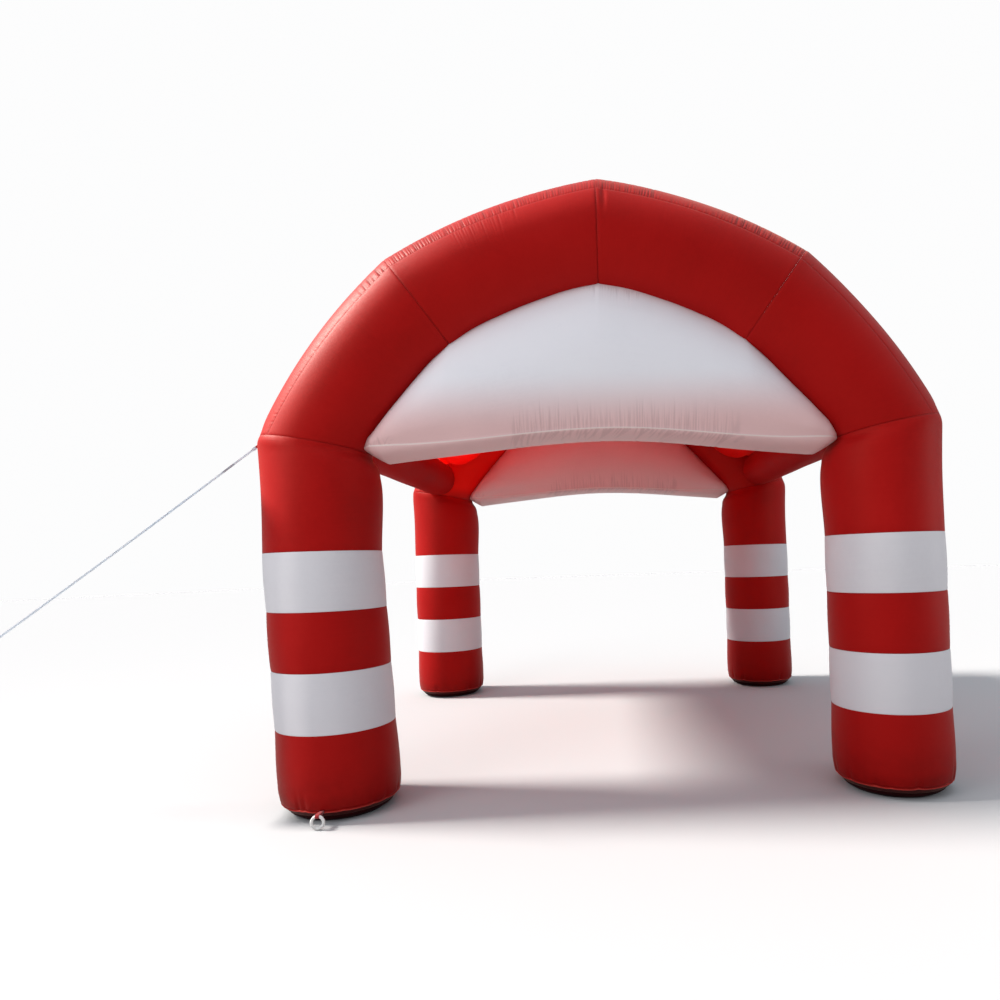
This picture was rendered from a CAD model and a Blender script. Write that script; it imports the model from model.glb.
"""Looks of the inflatable arch tent: cloth tubes, air-filled gables, a roof of pillows and a guy line.

Metres, +Z up. The front of the tent faces -Y. Each section makes one piece, or one group of like pieces,
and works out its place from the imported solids.
"""

import math

import bmesh
import bpy
import numpy as np
from mathutils import Matrix, Vector
from mathutils.bvhtree import BVHTree


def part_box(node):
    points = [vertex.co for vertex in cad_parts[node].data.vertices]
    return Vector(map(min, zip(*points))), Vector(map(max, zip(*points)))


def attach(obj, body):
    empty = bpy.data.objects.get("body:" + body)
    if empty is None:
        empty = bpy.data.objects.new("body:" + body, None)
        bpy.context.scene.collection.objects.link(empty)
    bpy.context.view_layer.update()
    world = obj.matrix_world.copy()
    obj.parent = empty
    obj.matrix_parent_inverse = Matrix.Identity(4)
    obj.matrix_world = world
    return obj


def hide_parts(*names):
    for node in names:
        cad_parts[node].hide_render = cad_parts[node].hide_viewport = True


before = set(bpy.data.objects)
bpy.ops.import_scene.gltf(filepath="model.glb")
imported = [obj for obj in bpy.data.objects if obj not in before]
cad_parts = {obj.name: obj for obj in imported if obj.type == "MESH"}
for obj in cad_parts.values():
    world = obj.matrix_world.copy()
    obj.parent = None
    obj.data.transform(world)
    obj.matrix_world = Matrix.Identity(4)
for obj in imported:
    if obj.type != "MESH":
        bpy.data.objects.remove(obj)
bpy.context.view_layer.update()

# Camera. It stands at a person's eye height, a little left of the middle of the front opening, and looks
# slightly up into the tent.
lens = bpy.data.cameras.new("camera")
camera = bpy.data.objects.new("camera", lens)
bpy.context.scene.collection.objects.link(camera)
bpy.context.scene.camera = camera
camera.location = (-0.0238, -6.4494, 1.576)
camera.rotation_euler = [math.radians(turn) for turn in (91.242, 1.889, -0.122)]
lens.sensor_width = 36.0
lens.lens = 24.556
lens.shift_x = -0.0984
lens.shift_y = 0.0438


# Guy rope. A 12 mm three-strand rope runs straight and taut from the front left knee down to a knot and a
# loop, which a stake outside the view would hold. The strands are laid as lobes that turn along the rope.
LEFT, RIGHT = -1, 1
FRONT, REAR = -1, 1
SIDE_NAMES = {LEFT: "left", RIGHT: "right"}
END_NAMES = {FRONT: "front", REAR: "rear"}
FULL_TURN = 2 * math.pi
BACK = np.array((0.0, 1.0, 0.0))
UP = np.array((0.0, 0.0, 1.0))
GUY_START = np.array((-2.2738, -1.8214, 2.4365))
GUY_SLOPE = math.radians(34.95)
GUY_RUN = np.array((-math.cos(GUY_SLOPE), 0.0, -math.sin(GUY_SLOPE)))
ROPE_START, ROPE_END = 0.0806, 2.2200
ROPE_RADIUS = 0.006
ROPE_SAG = 0.006
ROPE_POINTS = 24
ROPE_STEPS = 540
ROPE_THICKNESS = (0.90, 0.30)    # its half thickness between strands, and what a strand adds, in radii
STRANDS = 3
LAY_LENGTH = 0.042
AROUND_ROPE = np.linspace(0.0, FULL_TURN, 19)


class Shade:
    """One socket of a material, so that its patterns are written as sums and products."""

    def __init__(self, socket):
        self.socket = socket

    def node(self, kind, settings, values, output=0):
        """Adds any other node: its settings first, then the values or links of its sockets."""
        made = self.socket.id_data.nodes.new("ShaderNode" + kind)
        for key, value in settings.items():
            if key == "stops":
                while len(made.color_ramp.elements) < len(value):
                    made.color_ramp.elements.new(0.5)
                for stop, (place, colour) in zip(made.color_ramp.elements, value):
                    stop.position, stop.color = place, colour
            else:
                setattr(made, key, value)
        for key, value in values.items():
            if isinstance(value, Shade):
                made.id_data.links.new(value.socket, made.inputs[key])
            else:
                made.inputs[key].default_value = value
        return Shade(made.outputs[output])

    def math(self, operation, *others):
        return self.node("Math", {"operation": operation}, dict(enumerate((self, *others))))

    def __add__(self, other):
        return self.math("ADD", other)

    def __sub__(self, other):
        return self.math("SUBTRACT", other)

    def __mul__(self, other):
        return self.math("MULTIPLY", other)

    def __rsub__(self, other):
        return self.node("Math", {"operation": "SUBTRACT"}, {0: other, 1: self})

    def __abs__(self):
        return self.math("ABSOLUTE")

    def __lt__(self, other):
        return self.math("LESS_THAN", other)

    def between(self, low, high):
        """0 below low, 1 above high, and a smooth step between them; falls where low is above high."""
        limits = {1: min(low, high), 2: max(low, high), 3: float(low > high), 4: float(low < high)}
        return self.node("MapRange", {"interpolation_type": "SMOOTHSTEP"}, {0: self, **limits})

    def mixed(self, low, high):
        """A colour between two colours, as this number goes from 0 to 1."""
        return self.node("Mix", {"data_type": "RGBA"}, {0: self, 6: low, 7: high}, output=2)

    def noise(self, scale, detail=2.0, roughness=0.5):
        """Even noise on these coordinates."""
        values = {"Vector": self, "Scale": scale, "Detail": detail, "Roughness": roughness}
        return self.node("TexNoise", {}, values)

    def stretched(self, scale):
        """These coordinates, scaled along each axis."""
        return self.node("Mapping", {}, {"Vector": self, "Scale": scale})

    def part(self, axis):
        """One number of these coordinates."""
        return self.node("SeparateXYZ", {}, {0: self}, output=axis)


def new_finish(name):
    """A material, its shader, and the coordinates that patterns start from."""
    made = bpy.data.materials.new(name)
    made.use_nodes = True
    shader = made.node_tree.nodes["Principled BSDF"]
    coordinates = made.node_tree.nodes.new("ShaderNodeTexCoord")
    return made, shader, Shade(coordinates.outputs["Object"]), Shade(coordinates.outputs["UV"])


def feed(shader, **values):
    """Gives the shader's sockets their patterns or their even values."""
    for key, value in values.items():
        target = shader.inputs[key.replace("_", " ")]
        if isinstance(value, Shade):
            shader.id_data.links.new(value.socket, target)
        else:
            target.default_value = value


def let_through(finish, shader, share, colour, bump):
    """Lets a share of the light pass through a finish, in a colour."""
    passed = bump.node("BsdfTranslucent", {}, {"Color": colour, "Normal": bump})
    whole = bump.node("MixShader", {}, {0: share, 1: Shade(shader.outputs[0]), 2: passed})
    finish.node_tree.links.new(whole.socket, finish.node_tree.nodes["Material Output"].inputs["Surface"])


def surface(name, rows, angles, place, finish, slot, nodes):
    """Bends a grid into one closed piece. place() takes each point's row and angle, and gives its position,
    its flat cloth coordinates and its seam data: distance to the nearest seam, run along it and pucker."""
    build = bmesh.new()
    bmesh.ops.create_grid(build, x_segments=len(rows) - 1, y_segments=len(angles) - 1, size=0.5)
    mesh = bpy.data.meshes.new(name)
    build.to_mesh(mesh)
    grid = np.zeros(len(mesh.vertices) * 3)
    mesh.vertices.foreach_get("co", grid)
    grid = grid.reshape(-1, 3)
    share = (grid - grid.min(0))[:, :2] / np.ptp(grid, axis=0)[:2]
    row = rows[np.rint(share[:, 0] * (len(rows) - 1)).astype(int)]
    angle = angles[np.rint(share[:, 1] * (len(angles) - 1)).astype(int)]
    points, flat, seam = place(row, angle)
    mesh.vertices.foreach_set("co", points.ravel())
    corners = np.zeros(len(mesh.loops), dtype=int)
    mesh.loops.foreach_get("vertex_index", corners)
    mesh.uv_layers.new(name="cloth").data.foreach_set("uv", flat[corners].ravel())
    mesh.attributes.new("seam", "FLOAT_VECTOR", "POINT").data.foreach_set("vector", seam.ravel())
    build.clear()
    build.from_mesh(mesh)
    bmesh.ops.remove_doubles(build, verts=build.verts[:], dist=1e-5)
    bmesh.ops.holes_fill(build, edges=[edge for edge in build.edges if edge.is_boundary], sides=0)
    bmesh.ops.recalc_face_normals(build, faces=build.faces[:])
    return dress(name, mesh, build, finish, slot, nodes)


def dress(name, mesh, build, finish, slot, nodes):
    """Finishes a piece's mesh, gives it its material, and lets it stand for its solids."""
    build.to_mesh(mesh)
    build.free()
    mesh.shade_smooth()
    mesh.set_sharp_from_angle(angle=math.radians(60))
    mesh.materials.append(finish)
    piece = bpy.data.objects.new(name, mesh)
    bpy.context.scene.collection.objects.link(piece)
    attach(piece, "root")
    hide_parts(*nodes)
    return piece


def carried(path):
    """Two square directions at each point of a path, carried along it without a twist."""
    ahead = np.gradient(path, axis=0)
    ahead /= np.linalg.norm(ahead, axis=1)[:, None]
    side = np.cross(ahead[0], UP if abs(ahead[0][2]) < 0.9 else BACK)
    sides = []
    for run in ahead:
        side = side - side.dot(run) * run
        side = side / np.linalg.norm(side)
        sides.append(side)
    return np.array(sides), np.cross(ahead, np.array(sides))


def lengths(path):
    """How far along a path each of its points lies."""
    return np.concatenate(([0.0], np.cumsum(np.linalg.norm(np.diff(path, axis=0), axis=1))))


def around(angle, one, other):
    """Directions at angles round a middle, which start at one square direction and turn to the other."""
    return np.cos(angle)[:, None] * one + np.sin(angle)[:, None] * other


def laid_rope(name, path, squares, run, turned, thickness, node):
    """A rope along a path. squares are two directions across it at each point, run is how far along it the
    point lies, and turned is how far the strands have turned there."""
    side, square = squares
    core, strand = thickness

    def place(row, angle):
        index = row.astype(int)
        turn = angle - turned[index]
        lobe = np.abs(np.cos(turn * STRANDS / 2))
        reach = ROPE_RADIUS * (core + strand * lobe)
        flat = np.stack((run[index], turn * ROPE_RADIUS), axis=1)
        seam = np.stack((lobe, run[index], 0 * lobe), axis=1)
        return path[index] + reach[:, None] * around(angle, side[index], square[index]), flat, seam

    return surface(name, np.arange(len(path)), AROUND_ROPE, place, rope_finish, "rope", [node])


rope_finish, shader, spot, flat = new_finish("twisted_rope")
grooves = spot.node("Attribute", {"attribute_name": "seam"}, {}, output=1).part(0)
fibre = flat.stretched((260.0, 900.0, 1.0)).noise(1.0, 3.0)
stain = spot.noise(2.2, 2.0).between(0.45, 0.70)
clean = (grooves.between(0.0, 0.5) * 0.75 + fibre * 0.25).mixed((0.38, 0.39, 0.41, 1), (0.52, 0.53, 0.55, 1))
shade = (stain * 0.6).mixed(clean, (0.34, 0.42, 0.52, 1))
bump = fibre.node("Bump", {}, {"Height": fibre, "Strength": 0.35, "Distance": 0.0006})
feed(shader, Base_Color=shade, Roughness=0.82, Normal=bump, Specular_IOR_Level=0.1)
let_through(rope_finish, shader, 0.70, (0.70, 0.74, 0.79, 1), bump)

share = np.linspace(0.0, 1.0, ROPE_POINTS)
rope_points = GUY_START + (ROPE_START + share * (ROPE_END - ROPE_START))[:, None] * GUY_RUN
rope_points[:, 2] -= ROPE_SAG * 4 * share * (1 - share)
fine = np.linspace(0.0, 1.0, ROPE_STEPS)
rope_path = np.stack([np.interp(fine, share, rope_points[:, axis]) for axis in range(3)], axis=1)
run = lengths(rope_path)
turned = FULL_TURN * run / LAY_LENGTH
rope = laid_rope("guy_rope_laid", rope_path, carried(rope_path), run, turned, ROPE_THICKNESS, "guy_rope")


# Knots and loop of the guy line. The hitch at the tab and the knot at the far end are turns of the same
# rope, drawn tight. The loop past the knot goes over a stake.
KNOT_END = 0.55             # how thick a knot is at its ends, as a share of its radius
KNOT_GROOVE = 0.84          # the same in the grooves between its turns
# for each knot, where on the guy line it starts and ends, its radius, and the pitch of its turns
KNOTS = {"guy_hitch": (0.0503, 0.0803, 0.012, 0.0068), "guy_end_knot": (2.2203, 2.2563, 0.018, 0.0105)}
LOOP_RADIUS = 0.035
LOOP_STEPS = 73
LOOP_LAY_TURNS = 5
LOOP_THICKNESS = (0.78, 0.22)
guy_square = np.cross(GUY_RUN, BACK)
for node, (start, end, radius, pitch) in KNOTS.items():

    def place(row, angle):
        turn = angle - FULL_TURN * row / pitch
        wrap = np.abs(np.cos(turn / 2))
        middle = (row - start) / (end - start)
        full = np.sin(math.pi * np.clip(middle, 0.04, 0.96)) ** 0.5
        plump = KNOT_END + (1 - KNOT_END) * full
        reach = radius * plump * (KNOT_GROOVE + (1 - KNOT_GROOVE) * np.sqrt(wrap))
        points = GUY_START + row[:, None] * GUY_RUN + reach[:, None] * around(angle, BACK, guy_square)
        flat = np.stack((angle * radius, row), axis=1)
        return points, flat, np.stack((wrap, row, 0 * row), axis=1)

    surface(
        node + "_turns", np.linspace(start, end, 64), np.linspace(0.0, FULL_TURN, 33), place, rope_finish,
        "rope", [node],
    )
low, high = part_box("guy_loop")
middle = np.array((low + high) / 2)
turns = np.linspace(0.0, FULL_TURN, LOOP_STEPS)
loop = middle + LOOP_RADIUS * around(turns, GUY_RUN, guy_square)
squares = ((loop - middle) / LOOP_RADIUS, np.tile(BACK, (LOOP_STEPS, 1)))
laid_rope(
    "guy_loop_laid", loop, squares, turns * LOOP_RADIUS, LOOP_LAY_TURNS * turns, LOOP_THICKNESS, "guy_loop",
)
tuple(rope_points[0])


# Webbing tabs. One holds the guy line at the knee, the other the ring at the foot: strips of red polyester
# webbing, folded and sewn to the cloth. Their solids are copied and their edges rounded.
tab_finish, shader, spot, flat = new_finish("red_webbing")
rib = (spot.part(1) * 2600.0).math("SINE") * 0.5 + (spot.part(2) * 3100.0).math("SINE") * 0.5
speckle = spot.noise(900.0, 2.0)
shade = (rib * 0.25 + speckle * 0.5 + 0.2).mixed((0.16, 0.004, 0.006, 1), (0.46, 0.018, 0.02, 1))
bump = rib.node("Bump", {}, {"Height": rib, "Strength": 0.5, "Distance": 0.0004})
feed(shader, Base_Color=shade, Roughness=0.75, Normal=bump, Specular_IOR_Level=0.3, Sheen_Weight=0.2)
for node in ("guy_tab", "anchor_tab"):
    build = bmesh.new()
    build.from_mesh(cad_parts[node].data)
    bmesh.ops.remove_doubles(build, verts=build.verts[:], dist=1e-5)
    bmesh.ops.dissolve_limit(build, angle_limit=math.radians(4), verts=build.verts[:], edges=build.edges[:])
    sharp = [edge for edge in build.edges if edge.calc_face_angle(0.0) > math.radians(40)]
    bmesh.ops.bevel(build, geom=sharp, offset=0.0008, affect="EDGES", segments=2, profile=0.5, material=-1)
    bmesh.ops.triangulate(build, faces=build.faces[:])
    dress(node + "_webbing", bpy.data.meshes.new(node), build, tab_finish, "red_cloth", [node])


# Anchor ring. A moulded white plastic ring at the front left foot, which takes a ground stake. It has a
# slight flat on its sides and a fine parting line round its middle.
ring_finish, shader, spot, flat = new_finish("white_plastic")
speckle = spot.noise(260.0, 3.0)
wear = spot.noise(42.0, 4.0).between(0.5, 0.72)
shade = (wear * 0.6).mixed((0.80, 0.80, 0.79, 1), (0.55, 0.52, 0.48, 1))
bump = speckle.node("Bump", {}, {"Height": speckle, "Strength": 0.12, "Distance": 0.0006})
feed(shader, Base_Color=shade, Roughness=speckle * 0.2 + 0.3, Normal=bump)
RING_RADIUS = 0.036
RING_WIRE = 0.0095
RING_FLAT = 0.06            # how much of the wire's radius the flat on its sides takes
PARTING_DEPTH = 0.035       # the same of the parting line
PARTING_WIDTH = 0.09
RING_BEARING = math.radians(271.4)
low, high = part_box("anchor_ring")
ring_centre = np.array((low + high) / 2)
ring_axis = np.array((math.cos(RING_BEARING), math.sin(RING_BEARING), 0.0))
ring_side = np.cross(UP, ring_axis)


def hump(off, width):
    """1 at a place, falling away smoothly on both sides of it."""
    return np.exp(-((off / width) ** 2))


def place_ring(row, angle):
    wire = RING_WIRE * (1 - RING_FLAT * np.sin(angle) ** 4)
    wire *= 1 - PARTING_DEPTH * hump(np.sin(angle), PARTING_WIDTH)
    points = ring_centre + (RING_RADIUS + wire * np.cos(angle))[:, None] * around(row, ring_side, UP)
    points += (wire * np.sin(angle))[:, None] * ring_axis
    return points, np.stack((row * RING_RADIUS, angle * RING_WIRE), axis=1), np.zeros((len(row), 3))


surface(
    "anchor_ring_moulded", np.linspace(0.0, FULL_TURN, 97), np.linspace(0.0, FULL_TURN, 49), place_ring,
    ring_finish, "white_plastic", ["anchor_ring"],
)


# Leg bands. Each leg is a stack of red and white bands of coated nylon, blown up round and drawn in a little
# at the seams between them. The solids' rows are read back and drawn finer.
WHITE = (1.0, 1.0, 1.0, 1)
SEAM_STITCH = 0.0032        # length of one stitch
STITCH_OFF = 0.0045         # from the seam to its line of stitches
STITCH_WIDTH = 0.0007
THREAD = 0.0011             # from one thread of the weave to the next
LEG_SEAM_DEPTH = 0.0018     # how deep the level seams draw the cloth in
LEG_SEAM_REACH = 0.006
BAND_UNEVEN = 0.0012        # how high the slow unevenness of a band is
BAND_EVEN = 0.03            # how near its seams it is even
UNEVEN_WAVES = 7
UNEVEN_SUM = 2.6            # what so many waves add up to where they meet
GATHER_START = 0.004        # how far from its seam a gather is raised
LEVEL = 0.02                # how near its middle plane a point of a row counts as level with it
ROWS_APART = 0.0012         # rows nearer each other than this become one


def rows_of(node, side):
    """The rows of a solid tube from its lower end: middles, outward half axes and half depths."""
    build = bmesh.new()
    build.from_mesh(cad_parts[node].data)
    bmesh.ops.remove_doubles(build, verts=build.verts[:], dist=1e-5)
    caps = {}
    for face in build.faces:
        caps.setdefault(tuple(round(part, 2) for part in face.normal), []).append(face)
    largest = sorted(caps.values(), key=lambda faces: -sum(face.calc_area() for face in faces))[:2]
    lower = min(largest, key=lambda faces: sum(f.calc_center_median().z for f in faces) / len(faces))
    row = {vert for face in lower for vert in face.verts}
    seen, found = set(row), []
    while row:
        points = np.array([vert.co for vert in row])
        middle = points.mean(0)
        off = points - middle
        level = np.abs(off[:, 1]) < LEVEL
        outward = off[level][np.argmax(off[level] @ np.array((side, 0.0, 1.0)))]
        found.append((middle, outward, np.abs(off[:, 1]).max()))
        row = {edge.other_vert(vert) for vert in row for edge in vert.link_edges} - seen
        seen |= row
    build.free()
    return [np.array(values) for values in zip(*found)]


def drawn_through(stations, values, wanted):
    """A smooth curve through values that are given at stations."""
    values = np.asarray(values, dtype=float)
    slopes = np.gradient(values, stations, axis=0)
    index = np.clip(np.searchsorted(stations, wanted) - 1, 0, len(stations) - 2)
    span = stations[index + 1] - stations[index]
    t = np.clip((wanted - stations[index]) / span, 0.0, 1.0)
    if values.ndim > 1:
        t, span = t[:, None], span[:, None]
    start = values[index] * (1 + 2 * t) * (1 - t) ** 2 + slopes[index] * span * t * (1 - t) ** 2
    end = values[index + 1] * t ** 2 * (3 - 2 * t) + slopes[index + 1] * span * t ** 2 * (t - 1)
    return start + end


def spaced(end, step, near=()):
    """Rows along a piece, closer together near its two seams."""
    even = np.linspace(0.0, end, max(3, round(end / step) + 1))
    near = np.array(near)
    rows = np.concatenate((even, near, end - near))
    rows = np.unique(np.round(rows[(rows >= 0) & (rows <= end)], 5))
    return rows[np.concatenate(([True], np.diff(rows) > ROWS_APART))]


def unevenness(draw, along, turn, height):
    """The slow, slight unevenness of blown-up cloth."""
    lift = np.zeros_like(along)
    for _ in range(UNEVEN_WAVES):
        waves, turns, phase, start = draw.uniform(2, 9), draw.integers(1, 6), *draw.uniform(0, FULL_TURN, 2)
        lift += np.sin(waves * along + phase) * np.cos(turns * turn + start)
    return lift * height / UNEVEN_SUM


def fading(away, reach):
    """1 at a seam, falling away from it."""
    return np.exp(-away / reach)


def gathers(along, away, places, reach, tall, wide, lean):
    """Ridges, or creases where tall is below 0, that a seam pulls into the cloth. Each runs out from the
    seam and dies away."""
    lift = np.zeros_like(along)
    kept = away > 0
    run, off = along[kept], away[kept]
    total = np.zeros_like(run)
    for place, long, height, width, slant in zip(places, reach, tall, wide, lean):
        near = hump(run - place - slant * off, width)
        total += height * near * hump(off, long) * (1 - fading(off, GATHER_START))
    lift[kept] = total
    return lift


def gather_row(draw, start, end, spacing, reach, tall, slant=0.15):
    """A row of uneven gathers between two places along a seam."""
    count = max(1, round((end - start) / spacing))
    places = start + (np.arange(count) + draw.uniform(0.2, 0.8, count)) * (end - start) / count
    least, width = (0.5, 0.28) if tall < 0 else (0.25, 0.21)
    return (
        places, reach * draw.uniform(0.45, 1.25, count), tall * draw.uniform(least, 1.25, count),
        spacing * width * draw.uniform(0.75, 1.25, count), draw.uniform(-slant, slant, count),
    )


def end_gathers(row, length, along, rows_of_gathers):
    """The gathers of the seams at the two ends of a piece."""
    return sum(gathers(along, edge, *row_of) for edge, row_of in zip((row, length - row), rows_of_gathers))


def cloth(name, shades, stitch_colour, roughness, gloss=0.16, soil=0.25, passing=None, casts=(), bead=None,
          shine=WHITE, beyond=None):
    """Coated nylon: a fine weave under a smooth coat, with stitched seams, soiled low down, paler on its
    ridges and darker in its creases. shades runs from dark to light. passing is how much light goes through,
    and its colour. casts are colours that the cloth takes on at places: where, which colour and how it is
    blended. bead is the colour of a welt along its seams, beyond that of the cloth on a seam's far side."""
    made, shader, spot, flat = new_finish(name)
    shadow, colour, light = shades
    seam = spot.node("Attribute", {"attribute_name": "seam"}, {}, output=1)
    across, along, ridge = seam.part(0), seam.part(1), seam.part(2)
    warp = (flat.part(0) * (FULL_TURN / THREAD)).math("SINE")
    weft = (flat.part(1) * (FULL_TURN / THREAD)).math("SINE")
    weave = warp * weft
    broad = spot.noise(1.3, 3.0, 0.55)
    streaks = flat.stretched((3.0, 90.0, 1.0)).noise(1.0, 3.0, 0.6)
    fine = spot.noise(38.0, 4.0, 0.6)
    even = (broad - 0.5) * 0.55 + (streaks - 0.5) * 0.14 + (fine - 0.5) * 0.16 + weave * 0.03 + 0.5
    base = even.node("ValToRGB", {"stops": ((0.0, shadow), (0.5, colour), (1.0, light))}, {0: even})
    soiled = across.between(0.009, 0.0005) * soil
    grime = spot.part(2).between(0.45, 0.0) * (spot.noise(9.0, 5.0, 0.65).between(0.35, 0.72) + 0.4)
    low = spot.part(2).between(1.7, 0.0) * 0.30 + spot.part(2).between(0.30, 0.0) * 0.2
    dusty = (soiled + grime * 0.35 + low).mixed(base, shadow)
    raised = (ridge.between(0.0006, 0.0045) * 0.55).mixed(dusty, light)
    shade = (ridge.between(-0.0003, -0.0024) * 0.75).mixed(raised, shadow)
    for where, colour_there, blend in casts:
        settings = {"data_type": "RGBA", "blend_type": blend}
        shade = shade.node("Mix", settings, {0: where(spot, flat), 6: shade, 7: colour_there}, 2)
    if bead:
        shade = (across.between(0.0075, 0.0045) * 0.85).mixed(shade, bead)
    if beyond:
        shade = across.between(0.0005, -0.0015).mixed(shade, beyond)
    dash = abs((along * (1 / SEAM_STITCH)).math("FRACT") - 0.5) < 0.32
    line = abs(across - STITCH_OFF) < STITCH_WIDTH
    thread = dash * line
    slight = spot.noise(16.0, 3.0, 0.5)
    height = weave * 0.00004 + slight * 0.0010 + fine * 0.00025 - line * 0.0002
    bump = height.node("Bump", {}, {"Height": height, "Strength": 0.6, "Distance": 1.0})
    rough = (fine - 0.5) * 0.16 + (broad - 0.5) * 0.10 + soiled * 0.15 + roughness
    stitched = (thread * 0.9).mixed(shade, stitch_colour)
    feed(shader, Base_Color=stitched, Roughness=rough, Normal=bump, Specular_IOR_Level=gloss)
    feed(shader, Specular_Tint=shine, Sheen_Weight=gloss * 0.75, Sheen_Roughness=0.35, Sheen_Tint=shine)
    if passing:
        let_through(made, shader, *passing, bump)
    return made


def inside_tent(spot, flat):
    """Where the red cloth glows from the light that the roof lets in: inside, up high and on the left."""
    under_roof = abs(flat.part(0) - INNER_SIDE).between(0.78, 0.50) * spot.part(0).between(0.4, -0.8)
    return abs(spot.part(1)).between(1.90, 1.74) * spot.part(2).between(2.30, 2.50) * under_roof


RED_SHADES = ((0.19, 0.001, 0.002, 1), (0.39, 0.0035, 0.0045, 1), (0.50, 0.010, 0.010, 1))
RED_STITCH = (0.17, 0.004, 0.006, 1)
RED_SHINE = (1.0, 0.60, 0.42, 1)
GLOWING = (0.86, 0.006, 0.004, 1)
INNER_SIDE = 1.14           # how far round a tube, along its cloth, it faces into the tent
red_cloth = cloth(
    "red_coated_cloth", RED_SHADES, RED_STITCH, 0.51, casts=((inside_tent, GLOWING, "MIX"),),
    shine=RED_SHINE,
)
white_cloth = cloth(
    "white_coated_cloth", ((0.58, 0.565, 0.61, 1), (0.695, 0.685, 0.72, 1), (0.73, 0.72, 0.75, 1)),
    (0.66, 0.65, 0.68, 1), 0.46,
)
PANEL_CLOTH = {
    "low_band": (white_cloth, "white_cloth"),
    "middle_band": (red_cloth, "red_cloth"), "high_band": (white_cloth, "white_cloth"),
}
AROUND_LEG = np.linspace(0.0, FULL_TURN, 97)
NEAR_SEAM = (0.0, 0.002, 0.0045, 0.008, 0.013, 0.020, 0.030)
BAND_STEP = 0.03            # from row to row away from its seams
BAND_GATHERS = (0.0, FULL_TURN * 0.38, 0.075, 0.035, 0.0007)    # start, end, spacing, reach and height


def tube_place(node, side, end, relief, settle=None):
    """How a round tube is drawn: the solid's rows, smoothed, with the relief that its seams give it."""
    middles, outwards, depths = rows_of(node, side)
    run = lengths(middles)
    face = np.array((0.0, float(end), 0.0))
    radius = np.linalg.norm(outwards, axis=1).mean()

    def place(row, angle):
        middle = drawn_through(run, middles, row)
        outward = drawn_through(run, outwards, row)
        depth = drawn_through(run, depths, row)
        half = np.linalg.norm(outward, axis=1)
        lift, seam = relief(row, angle, run[-1], radius)
        across, off = np.cos(angle)[:, None] * outward, (np.sin(angle) * depth)[:, None] * face
        normal = across / (half ** 2)[:, None] + off / (depth ** 2)[:, None]
        normal /= np.linalg.norm(normal, axis=1)[:, None]
        points = middle + across + off + lift[:, None] * normal
        return settle(points) if settle else points, np.stack((angle * radius, row), axis=1), seam

    return place, run[-1]


def blown_up(node, rows, angles, place, finish, slot, fill=0.95):
    """A closed piece of air-filled cloth that stands for its solid."""
    piece = surface(node + "_cloth", rows, angles, place, finish, slot, [node])
    return piece


def seam_data(row, angle, length, radius, ridges):
    """Distance to the nearer end seam, run along it, and the height of the gathers."""
    return np.stack((np.minimum(row, length - row), angle * radius, ridges), axis=1)


def leg_pieces():
    """Every leg of the tent: its name, its side and its end."""
    places = [(side, end) for end in (FRONT, REAR) for side in (LEFT, RIGHT)]
    return [(f"{END_NAMES[end]}_{SIDE_NAMES[side]}_leg", side, end) for side, end in places]


for number, (leg, side, end) in enumerate(leg_pieces()):
    for band in ("low_band", "middle_band", "high_band"):
        draw = np.random.default_rng(100 + 10 * number + len(band))
        rows_of_gathers = [gather_row(draw, *BAND_GATHERS) for _ in range(2)]

        def relief(row, angle, length, radius):
            nearest = np.minimum(row, length - row)
            ridges = end_gathers(row, length, angle * radius, rows_of_gathers)
            slow = unevenness(np.random.default_rng(number * 7 + len(band)), row, angle, BAND_UNEVEN)
            lift = (slow + ridges) * (1 - fading(nearest, BAND_EVEN))
            lift -= LEG_SEAM_DEPTH * fading(nearest, LEG_SEAM_REACH)
            return lift, seam_data(row, angle, length, radius, ridges)

        node = f"{leg}_{band}"
        place, length = tube_place(node, side, end, relief)
        blown_up(node, spaced(length, BAND_STEP, NEAR_SEAM), AROUND_LEG, place, *PANEL_CLOTH[band])


# Feet and base discs. The foot rounds in to the base disc of dark, heavier cloth, and the seam between them
# is gathered, so that it rises to a small point at each gather, with a dent above it.
BASE_COLOUR = (0.065, 0.006, 0.007, 1)
foot_cloth = cloth(
    "red_foot_cloth", RED_SHADES, RED_STITCH, 0.46, soil=0.0, bead=(0.58, 0.055, 0.045, 1), shine=RED_SHINE,
    beyond=BASE_COLOUR,
)
base_cloth = cloth(
    "dark_base_cloth", ((0.020, 0.002, 0.003, 1), BASE_COLOUR, (0.10, 0.012, 0.012, 1)),
    (0.02, 0.004, 0.004, 1), 0.62, gloss=0.04,
)
AROUND_FOOT = np.linspace(0.0, FULL_TURN, 209)
FOOT_STEP, BASE_STEP = 0.014, 0.004    # from row to row
FOOT_UNEVEN = 0.0014
FOOT_EVEN = 0.05
FOOT_GATHERS = 15
GATHER_RISE = 0.011         # how high the base seam rises at its tallest gather
HEM = 0.028                 # how far up from its lower edge the foot is sewn to the dark cloth
NEAR_HEM = (-HEM, -0.02, -0.012, -0.007, -0.003, 0.0, 0.003, 0.006, 0.009, 0.012, 0.015, 0.019, 0.024, 0.03)
LIP = 0.004                 # how far the sewn edge stands out
LIP_GROOVE = 0.003          # how deep the groove above it is
DENT = 0.009
BASE_FOLD = 0.35            # how deep the base disc folds at a gather, as a share of the gather's rise


def foot_gathers(leg_number):
    """Where the base seam of a leg is gathered, how high it rises there and how wide the dent is."""
    draw = np.random.default_rng(40 + leg_number)
    places = (np.arange(FOOT_GATHERS) + draw.uniform(0.1, 0.9, FOOT_GATHERS)) * FULL_TURN / FOOT_GATHERS
    return places, draw.uniform(0.003, GATHER_RISE, FOOT_GATHERS), draw.uniform(0.03, 0.06, FOOT_GATHERS)


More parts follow.
